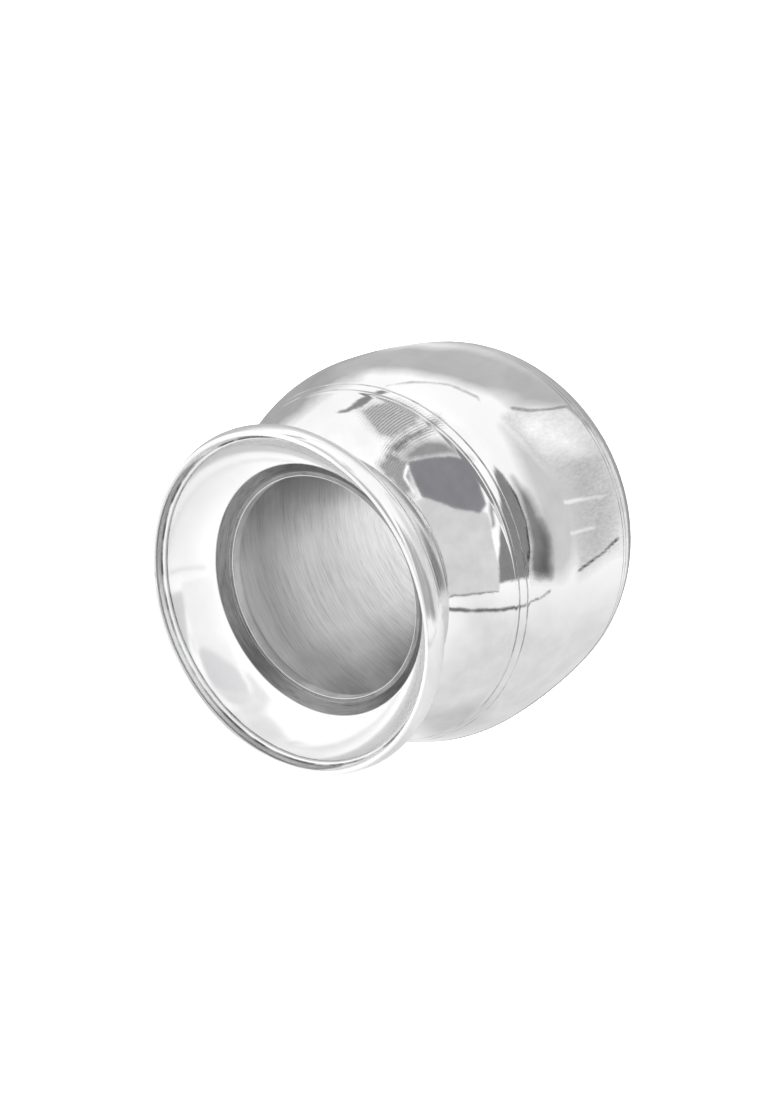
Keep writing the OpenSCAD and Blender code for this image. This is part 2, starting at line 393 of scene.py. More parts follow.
# sizes in metres; every piece has these values unless its own finish below changes them
silver = {
    "bright": (0.94, 0.94, 0.945), "shade": (0.87, 0.87, 0.875), "tarnish": (0.05, 0.05, 0.05),
    "patchSize": 0.004, "patchLeast": 0.4, "patchMost": 0.95,
    "roughness": 0.04, "hazeRoughness": 0.09, "hazeScale": 55,
    "rippleSize": 0.0026, "rippleHeight": 4.5e-6,
    "grainSize": 0.00055, "grainHeight": 0.45e-6,
    "latheLines": 3600, "latheHeight": 0.35e-6,
    "metallic": 1.0, "scratchRoughness": 0.12, "scratchFrom": 0.70, "scratchTo": 0.78,
    "scratchStretch": (5200, 140, 140), "scratchTurns": ((0.4, 0.9, 0.2), (1.3, 0.3, 1.1)),
    "satinBright": (0.95, 0.95, 0.95), "satinShade": (0.65, 0.65, 0.655), "satinRoughness": 0.40,
    "satinMetallic": 0.4, "satinSpread": 0.07,
    # painted shade on the satin inside: darker towards both ends along X and up towards the throat
    "endShade": 0.32, "endFrom": 0.010, "endTo": 0.027, "throatFrom": 0.054, "throatTo": 0.0625,
    "throatShade": 0.8,
    # dull ring: a rough finish, with dark colours that are painted shade
    "dullBright": (0.36, 0.36, 0.362), "dullShade": (0.19, 0.19, 0.192), "dullRoughness": 0.3,
    "brushLines": 4600, "wideBrushShare": 0.25, "brushHeight": 1.6e-6,
}


def silverFinish(name, s):
    material, tree, shader = shaderTree(name)
    place3d, turned = turnedCoordinates(tree)
    satin = maskNode(tree, "satin", (-900, 700))
    dull = maskNode(tree, "dull", (-900, 850))
    groove = maskNode(tree, "groove", (-900, 1000))
    cloud = noiseMap(tree, place3d, (-900, 400), s["hazeScale"], 4, 0.55)
    ripple = noiseMap(tree, place3d, (-900, 150), 1 / s["rippleSize"], 2, 0.5, 0.3)
    grain = noiseMap(tree, place3d, (-900, -50), 1 / s["grainSize"], 2, 0.6)
    lines = noiseMap(tree, turned, (-900, -250), s["latheLines"], 3, 0.6)
    brush = noiseMap(tree, turned, (-900, -450), s["brushLines"], 4, 0.7)
    brushWide = noiseMap(tree, turned, (-900, -650), s["brushLines"] * s["wideBrushShare"], 3, 0.6)

    # hairline scratches from polishing, in two directions
    scratches = []
    for k, turn in enumerate(s["scratchTurns"]):
        low = -900 - 250 * k
        aim = addNode(tree, "ShaderNodeMapping", (-1100, low), {
            "Vector": place3d, "Rotation": turn, "Scale": s["scratchStretch"]})
        hair = noiseMap(tree, aim.outputs[0], (-900, low), 1, 2, 0.5)
        scratches.append(ramp(tree, hair, (-700, low), s["scratchFrom"], s["scratchTo"]))
    scratch = calc(tree, "MAXIMUM", (-500, -1000), scratches[0], scratches[1])

    # colour: bright metal, satin inside with brushed streaks and painted shade towards its ends and the throat, dull
    # ring darkened with painted shade, dark grooves
    metal = blend(tree, (-300, 600), ramp(tree, cloud, (-600, 400), 0.45, 0.75), s["bright"], s["shade"], "RGBA")
    streaks = calc(tree, "MULTIPLY", (-600, 250), ramp(tree, brushWide, (-700, -600), 0.3, 0.7, 0.2, 1),
                   ramp(tree, brush, (-700, -700), 0.36, 0.64))
    streaks = calc(tree, "MULTIPLY", (-450, 250), streaks, ramp(tree, cloud, (-700, 300), 0.2, 0.6, 0.5, 1.3))
    inside = blend(tree, (-300, 350), streaks, s["satinBright"], s["satinShade"], "RGBA")
    # painted shade: the satin inside is darkened in cloudy patches towards both ends along X and towards the throat
    sides = addNode(tree, "ShaderNodeSeparateXYZ", (-700, 1100), {0: place3d}).outputs
    aside = calc(tree, "ABSOLUTE", (-550, 1100), sides["X"])
    ends = ramp(tree, aside, (-400, 1100), s["endFrom"], s["endTo"])
    throat = ramp(tree, sides["Z"], (-400, 1250), s["throatFrom"], s["throatTo"], 0, s["throatShade"])
    paintedShade = calc(tree, "MULTIPLY", (-250, 1000), calc(tree, "MAXIMUM", (-300, 1200), ends, throat),
                  ramp(tree, cloud, (-400, 950), 0.35, 0.6, 0.35, 1))
    paintedShadeTone = tuple(c * s["endShade"] for c in s["satinShade"])
    inside = blend(tree, (-150, 350), paintedShade, inside, paintedShadeTone, "RGBA")
    # painted shade: the dull ring and the neck tube's cut end get a dark colour
    worn = blend(tree, (-150, 150), streaks, s["dullBright"], s["dullShade"], "RGBA")
    tone = blend(tree, (0, 500), satin, metal, inside, "RGBA")
    tone = blend(tree, (150, 500), dull, tone, worn, "RGBA")
    patches = noiseMap(tree, place3d, (-900, 1200), 1 / s["patchSize"], 3)
    patches = ramp(tree, patches, (0, 900), 0.4, 0.6, s["patchLeast"], s["patchMost"])
    tone = blend(tree, (300, 500), calc(tree, "MULTIPLY", (150, 700), groove, patches), tone, s["tarnish"], "RGBA")
    metallic = blend(tree, (300, 300), dull, blend(tree, (150, 300), satin, s["metallic"], s["satinMetallic"]), 1.0)

    # roughness
    haze = ramp(tree, cloud, (-500, 100), 0.4, 0.8, s["roughness"], s["hazeRoughness"])
    haze = calc(tree, "ADD", (-300, 100), haze, calc(tree, "MULTIPLY", (-400, -50), scratch, s["scratchRoughness"]))
    least, most = s["satinRoughness"] - s["satinSpread"], s["satinRoughness"] + s["satinSpread"]
    brushed = ramp(tree, brush, (-500, -300), 0.3, 0.7, least, most)
    rough = blend(tree, (150, 100), dull, blend(tree, (0, 100), satin, haze, brushed), s["dullRoughness"])

    # relief: ripples, grain and lathe lines on the polish, combed lines on the satin and the dull ring
    polished = calc(tree, "ADD", (-300, -150), calc(tree, "MULTIPLY", (-450, -150), ripple, s["rippleHeight"]),
                    calc(tree, "MULTIPLY", (-450, -250), grain, s["grainHeight"]))
    turning = calc(tree, "MULTIPLY", (-300, -300), lines, s["latheHeight"])
    polished = calc(tree, "ADD", (-150, -200), polished, turning)
    combed = calc(tree, "MULTIPLY", (-300, -450), brush, s["brushHeight"])
    relief = blend(tree, (50, -250), calc(tree, "MAXIMUM", (-100, -350), satin, dull), polished, combed)
    bump = addNode(tree, "ShaderNodeBump", (300, -250), {"Height": relief, "Strength": 1, "Distance": 1})
    finish = {"Base Color": tone, "Metallic": metallic, "Roughness": rough, "Normal": bump.outputs[0]}
    for label, value in finish.items():
        feed(tree, shader.inputs[label], value)
    return material


silverLook = silverFinish("mirrorSilver", silver)
flareLook = silverFinish("buffedSilver", dict(
    silver, bright=(0.665, 0.665, 0.668), shade=(0.63, 0.63, 0.633), roughness=0.12, hazeRoughness=0.2, metallic=0.68,
    scratchRoughness=0.03, latheHeight=0.6e-6))
rimLook = silverFinish("rimSilver", dict(
    silver, bright=(0.82, 0.82, 0.823), shade=(0.74, 0.74, 0.743), roughness=0.1, hazeRoughness=0.17, metallic=0.91,
    scratchRoughness=0.05, latheHeight=0.9e-6))
collarLook = silverFinish("brushedSilver", dict(
    silver, bright=(0.82, 0.82, 0.823), shade=(0.7, 0.7, 0.703), roughness=0.24, hazeRoughness=0.34, metallic=0.95,
    latheHeight=1.5e-6))
solderLook = silverFinish("dressedSolder", dict(
    silver, bright=(0.86, 0.86, 0.855), shade=(0.68, 0.68, 0.672), roughness=0.16, hazeRoughness=0.34,
    rippleHeight=9e-6))
print("finishes ready")


# Lower bowl, with the pushed-in middle of its base

dish = body["dishDiameter"] / 2
outside = engrave(lowerRun(0, body["outerStep"]), [place["joint"] - body["lineGap"] / 2], body["lineWidth"])
inside = lowerRun(body["wall"], body["innerStep"])
dishSlant = body["dishHeight"] * body["dishRun"]
dishInside = dish + body["wall"] / 2
raised = body["wall"] + body["dishHeight"]
under = joined(
    line(Vector((0, body["dishHeight"])), Vector((dish - dishSlant, body["dishHeight"])), body["flatStep"]),
    line(Vector((dish, 0)), Vector((body["baseDiameter"] / 2 - body["footMargin"], 0)), body["footStep"]))
floorIn = joined(
    line(Vector((inside[0].x - body["footMargin"], body["wall"])),
         Vector((dishInside, body["wall"])), body["footStep"]),
    line(Vector((dishInside - dishSlant, raised)), Vector((0, raised)), body["flatStep"]))
bowlOutline = eased(plain(under) + outside + plain(inside[::-1]) + plain(floorIn), body["footRound"], closed=False)


# the satin inside begins a share of the wall deep; the neck tube's cut end lies between two worn corners
margins = {"skinShare": 0.6, "tubeEnd": 0.12, "cutDepth": 0.02, "innerCorner": 0.13, "outerCorner": 0.04}
bodySide = lowerRun(0, 0.5) + upperRun(0, 0.5)


def bodyRadius(z):
    for a, b in zip(bodySide, bodySide[1:]):
        if a.y <= z <= b.y:
            return a.x + (b.x - a.x) * (z - a.y) / max(b.y - a.y, 1e-9)
    return body["baseDiameter"] / 2


def insideBody(p):
    skin = body["wall"] * margins["skinShare"]
    return skin < p.y < place["tubeTop"] - margins["tubeEnd"] and p.x < bodyRadius(p.y) - skin


# the cut end of the neck tube gets the dull ring's dark colour, painted shade
def cutEdge(p):
    inner = place["tube"] - body["wall"] + margins["innerCorner"]
    return p.y > place["tubeTop"] - margins["cutDepth"] and inner < p.x < place["tube"] - margins["outerCorner"]


lowerBowl = spinPiece("lowerBowl", bowlOutline, silverLook, closed=False, satin=insideBody)
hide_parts("lower_bowl")


# Shoulder shell and its neck tube

lineHeights = [place["joint"] + body["lineGap"] / 2, place["upper"] - body["lineGap"], place["upper"]]
outside = engrave(upperRun(0, body["outerStep"]), lineHeights, body["lineWidth"])
shellOutline = eased(outside + plain(upperRun(body["wall"], body["innerStep"])[::-1]), body["cornerRound"])
shoulderShell = spinPiece("shoulderShell", shellOutline, silverLook,
                          satin=insideBody, dull=cutEdge, seed=1)
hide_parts("shoulder_shell")


# Mouth: collar, flare with its bead, and the half-round band

mouth = {
    "collarGrip": 1.2, "collarRise": 1.5, "waistDiameter": 45.8, "coveRadius": 1.3,
    "ringWidth": 1.75, "ringHeight": 1.9, "rimDiameter": 60, "flareHeight": 8.4, "flareRadius": 14,
    "lipWidth": 2.2, "beadRadius": 0.6, "beadTuck": 36, "beadCrease": 75, "beadLift": 0.2,
    "bandRadius": 3.7, "crestRadius": 0.5, "crestSlope": 35, "bandLowSlope": 58,
    "solderSize": 0.8, "solderHollow": 0.07, "shelfMargin": 0.1, "solderStop": 0.6,
    "step": 0.22, "coveStep": 0.15, "beadStep": 0.09, "hiddenStep": 0.12, "divisions": 12,
    "cornerRound": 0.12, "flareRound": 0.03, "tarnishReach": 0.18,
}


def placeMouth(s):
    m = {"shelf": place["tubeTop"] + s["collarRise"], "low": place["tubeTop"] - s["collarGrip"]}
    m["foot"] = Vector((place["tube"], place["tubeTop"]))
    m["edge"] = m["foot"] + Vector((s["ringWidth"], s["ringHeight"]))
    m["crease"] = Vector((s["rimDiameter"] / 2 - s["lipWidth"], place["tubeTop"] + s["flareHeight"]))
    chord = m["crease"] - m["edge"]
    beside = Vector((-chord.y, chord.x)).normalized()
    m["flare"] = (m["edge"] + m["crease"]) / 2 + beside * reach(s["flareRadius"], chord.length / 2)
    m["bead"] = m["crease"] + polar(s["beadRadius"], s["beadTuck"])
    m["band"] = Vector((s["rimDiameter"] / 2 - s["bandRadius"], m["bead"].y - s["beadLift"]))
    m["crest"] = m["band"] + polar(s["bandRadius"] - s["crestRadius"], s["crestSlope"])
    m["bandLow"] = m["band"].y - s["bandRadius"] * math.sin(math.radians(s["bandLowSlope"]))
    return m


rim = placeMouth(mouth)
backRadius = mouth["flareRadius"] + body["wall"]


def flareBack(z):
    # outer face of the flare: the dull ring's straight back up to the knee, and the arc above it
    ringSlope = math.atan2(mouth["ringHeight"], mouth["ringWidth"])
    straight = place["tube"] + body["wall"] / math.sin(ringSlope) + (z - place["tubeTop"]) / math.tan(ringSlope)
    bend = rim["flare"].x + reach(backRadius, z - rim["flare"].y)
    return Vector((max(straight, bend) if z < rim["edge"].y else bend, z))


def fullSlope(v):
    return slope(v) % 360


def tuckedIn(p):
    # polish and tarnish stay in the two corners beside the bead
    corners = (rim["crease"], rim["bead"] + polar(mouth["beadRadius"], 180 - mouth["beadCrease"]))
    return 1.0 if min((p - c).length for c in corners) < mouth["tarnishReach"] else 0.0


step = mouth["step"]
waist = mouth["waistDiameter"] / 2
cove = Vector((waist + mouth["coveRadius"], rim["low"]))
shelfSide = flareBack(rim["shelf"]).x
collarOuter = shelfSide + mouth["solderSize"] + mouth["shelfMargin"]
coveTop = rim["low"] + mouth["coveRadius"]
divisions = mouth["divisions"]
underFlare = [flareBack(place["tubeTop"] + mouth["collarRise"] * (1 - k / divisions)) for k in range(divisions + 1)]
collarOutline = joined(
    line(Vector((place["tube"], rim["low"])), Vector((waist, rim["low"])), 0.5),
    arc(cove, mouth["coveRadius"], 180, 90, mouth["coveStep"]),
    [Vector((collarOuter, coveTop)), Vector((collarOuter, rim["shelf"]))],
    underFlare, [rim["foot"]])
collarOutline = eased(plain(collarOutline), mouth["cornerRound"])
neckCollar = spinPiece("neckCollar", collarOutline, collarLook, seed=2)
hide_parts("neck_collar")

# the bead stands a little over the back of the flare, so its outline ends where the two cross
bead = rim["bead"]
beadStart = fullSlope(rim["crease"] - bead)
toBead = bead - rim["flare"]
crossing = backRadius ** 2 - toBead.length_squared - mouth["beadRadius"] ** 2
crossing /= 2 * toBead.length * mouth["beadRadius"]
beadEnd = slope(toBead) - math.degrees(math.acos(crossing))
backStart = fullSlope(bead + polar(mouth["beadRadius"], beadEnd) - rim["flare"])

# the foot of the flare is a flat ring that the buffing wheel does not reach; its dark colour is painted shade
dullRing = line(rim["foot"], rim["edge"], 0.2)
restOfFlare = joined(
    arc(rim["flare"], mouth["flareRadius"],
        fullSlope(rim["edge"] - rim["flare"]), fullSlope(rim["crease"] - rim["flare"]), step),
    arc(bead, mouth["beadRadius"], beadStart, beadEnd, mouth["beadStep"]),
    arc(rim["flare"], backRadius, backStart, fullSlope(flareBack(rim["edge"].y) - rim["flare"]), step * 2),
    [flareBack(rim["edge"].y + (place["tubeTop"] - rim["edge"].y) * k / 16) for k in range(17)])
flareOutline = plain(dullRing[:-1]) + [(p, tuckedIn(p)) for p in restOfFlare]


def onDullRing(p):
    return p.y < rim["edge"].y - margins["cutDepth"] and p.x < flareBack(p.y).x - body["wall"] / 2


mouthFlare = spinPiece("mouthFlare", eased(flareOutline, mouth["flareRound"]), flareLook,
                       dull=onDullRing, seed=3)
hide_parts("mouth_flare")

lowPoint = flareBack(rim["bandLow"])
beadTop = 180 - mouth["beadCrease"]
crestSide = rim["crest"] - Vector((mouth["crestRadius"], 0))
bandOutline = joined(
    [lowPoint],
    arc(rim["band"], mouth["bandRadius"], -mouth["bandLowSlope"], mouth["crestSlope"], step),
    arc(rim["crest"], mouth["crestRadius"], mouth["crestSlope"], 180, mouth["beadStep"]),
    line(crestSide, bead + polar(mouth["beadRadius"], beadTop), 0.3),
    arc(bead, mouth["beadRadius"], beadTop, beadEnd, mouth["hiddenStep"]),
    arc(rim["flare"], backRadius, backStart, fullSlope(lowPoint - rim["flare"]), step * 2))
bandOutline = [(p, tuckedIn(p)) for p in bandOutline]
rimBand = spinPiece("rimBand", eased(bandOutline, mouth["cornerRound"]), rimLook, seed=4)
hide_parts("rim_band")


# Solder: the ring in the body joint, the waist, and two small fillets

def seamFace(depth):
    low, high = sideAngle(place["joint"] - halfSeam, depth), sideAngle(place["joint"] + halfSeam, depth)
    return arc(place["side"], body["sideRadius"] - depth, low, high, 0.1)


seamOutline = plain(joined(seamFace(0), seamFace(body["wall"])[::-1]))
bodySolder = spinPiece("bodySolder", seamOutline, silverLook, satin=insideBody, seed=5)
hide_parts("body_solder")

fromWaist = Vector((waist, rim["low"])) - place["shoulder"]
hollowRadius = fromWaist.length_squared - body["shoulderRadius"] ** 2
hollowRadius /= 2 * (body["shoulderRadius"] - fromWaist.x)
hollow = Vector((waist + hollowRadius, rim["low"]))
hollowEnd = place["shoulder"] + polar(body["shoulderRadius"], slope(hollow - place["shoulder"]))
stopX = hollowEnd.x - mouth["solderStop"]
stopSlope = math.degrees(math.acos((stopX - place["shoulder"].x) / body["shoulderRadius"]))
stopHollow = 180 + math.degrees(math.acos((hollow.x - stopX) / hollowRadius))
neckOutline = joined(
    [Vector((place["tube"], rim["low"]))],
    arc(place["fillet"], body["neckFillet"], -180, place["neckSlope"] - 180, body["filletStep"]),
    arc(place["shoulder"], body["shoulderRadius"], place["neckSlope"], stopSlope, 0.3),
    arc(hollow, hollowRadius, stopHollow, 180, mouth["coveStep"]))
neckSolder = spinPiece("neckSolder", plain(neckOutline), solderLook, seed=6)
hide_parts("neck_solder")


def corner(name, node, z, up, seed):
    # a slightly hollow fillet between a level face and the back of the flare
    size = mouth["solderSize"]
    root = flareBack(z)
    face = []
    for k in range(divisions + 1):
        share = k / divisions
        hollowed = size * mouth["solderHollow"] * math.sin(math.pi * share)
        p = root + Vector((size * (1 - share) - hollowed, up * (size * share - hollowed)))
        if p.x > flareBack(p.y).x:
            face.append(p)
    back = [flareBack(z + (face[-1].y - z) * k / 8) for k in range(8, -1, -1)]
    piece = spinPiece(name, plain(joined(face, back)), solderLook, seed=seed)
    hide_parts(node)


corner("flareSolder", "flare_solder", rim["shelf"], 1, 7)
corner("rimSolder", "rim_solder", rim["bandLow"], -1, 8)
print("pot assembled")


# Camera: over the mouth and rolled, as the photograph was taken

camera = {
    "place": (-0.000415, 0.126533, 0.198789),
    "right": (0.420030, 0.705318, -0.571053),
    "up": (-0.907510, 0.326448, -0.264305),
    "lens": 35.022, "sensor": 36, "photoSize": (780, 1108),
}
eye = bpy.data.cameras.new("photoCamera")
eye.lens = camera["lens"]
eye.sensor_width = camera["sensor"]
eye.clip_start = 0.01
viewer = bpy.data.objects.new("photoCamera", eye)
right, up = Vector(camera["right"]), Vector(camera["up"])
turn = Matrix((right, up, right.cross(up))).transposed().to_4x4()
viewer.matrix_world = Matrix.Translation(camera["place"]) @ turn
scene.collection.objects.link(viewer)
scene.camera = viewer


# Studio: white floor, soft light, and a tent with flags that only the polish sees

studio = {
    "floorSize": 6.0, "floorColour": (0.9, 0.9, 0.9), "skyLevel": 2.2,
    "tentRadius": 0.92, "tentLevel": 1.05, "tentSpread": 0.07, "tentRows": 61, "tentColumns": 73,
    "middle": (0, 0, 0.04), "floorGap": 0.0008, "layerGap": 0.01, "flagPitch": 1.5, "finePitch": 0.9,
    "flagSpread": 0.07, "tearSize": 5.5, "hatchSize": 1.6, "hatchDepth": 0.6, "hatchSlant": (0.9, 0.4),
    "panelTint": (1.0, 0.985, 1.045), "traceRadius": 0.9, "traceFloor": 0.0007,
    "boxes": {
        "overheadBox": {"azimuth": 40, "elevation": 74, "distance": 1.3, "size": 0.9, "power": 8},
        "sideBox": {"azimuth": 200, "elevation": 38, "distance": 1.2, "size": 0.7, "power": 5},
        "mouthBox": {"azimuth": 92, "elevation": 60, "distance": 1.5, "size": 0.3, "power": 17},
    },
}

# tracing a point of the photograph to what the body mirrors there: strides and touch in millimetres,
# slack in degrees, longSide in pixels
tracing = {"steps": 800, "stride": 0.3, "touch": 0.0001, "slack": 0.5, "longSide": 20}
bodyArcs = [
    (place["bend"], body["bendRadius"], place["domeSlope"], -body["sideDown"]),
    (place["side"], body["sideRadius"], -body["sideDown"], body["sideUp"]),
    (place["shoulder"], body["shoulderRadius"], body["sideUp"], place["neckSlope"]),
]


def besideBody(r, z):
    # how far a point lies outside the round body, and which way is outward there
    best = (tracing["stride"], None)
    for centre, radius, low, high in bodyArcs:
        out = Vector((r, z)) - centre
        gap = out.length - radius
        inSector = low - tracing["slack"] <= slope(out) <= high + tracing["slack"]
        if inSector and (best[1] is None or abs(gap) < abs(best[0])):
            best = (gap, out.normalized())
    return best


def onBody(aim):
    # follows a line of sight from the camera, in millimetres, until it meets the body
    p = Vector(camera["place"]) / mm
    for _ in range(tracing["steps"]):
        r = math.hypot(p.x, p.y)
        gap, out = besideBody(r, p.z)
        if out and gap < tracing["touch"]:
            return p, Vector((out.x * p.x / r, out.x * p.y / r, out.y))
        p = p + aim * max(gap, tracing["touch"])
    raise ValueError("a picked corner misses the body")


def mirrored(u, v):
    # the direction, seen from the middle of the tent, that the body mirrors at one point of the photograph
    width, height = camera["photoSize"]
    focal = camera["lens"] / camera["sensor"] * height
    aim = (right * (u - width / 2) - up * (v - height / 2) - right.cross(up) * focal).normalized()
    p, normal = onBody(aim)
    bounce = aim.reflect(normal)
    away = p - Vector(studio["middle"]) / mm
    back = away.dot(bounce)
    far = math.sqrt(back * back - away.length_squared + (studio["traceRadius"] / mm) ** 2) - back
    if bounce.z < 0:
        far = min(far, (studio["traceFloor"] / mm - p.z) / bounce.z)
    away += bounce * far
    return math.degrees(math.atan2(away.y, away.x)) % 360, math.degrees(math.asin(away.z / away.length))


def seen(picks, digits=0, halve=True, closed=True):
    # corners of a flag from pixels of the photograph; a long side is also traced at its middle
    corners = []
    for k, pick in enumerate(picks):
        a, b = Vector(pick), Vector(picks[(k + 1) % len(picks)])
        long = halve and (b - a).length >= tracing["longSide"] and (closed or k < len(picks) - 1)
        for spot in (a, a.lerp(b, 0.5)) if long else (a,):
            corner = tuple(round(angle, digits) for angle in mirrored(*spot))
            if not corners or corners[-1] != corner:
                corners.append(corner)
    return corners
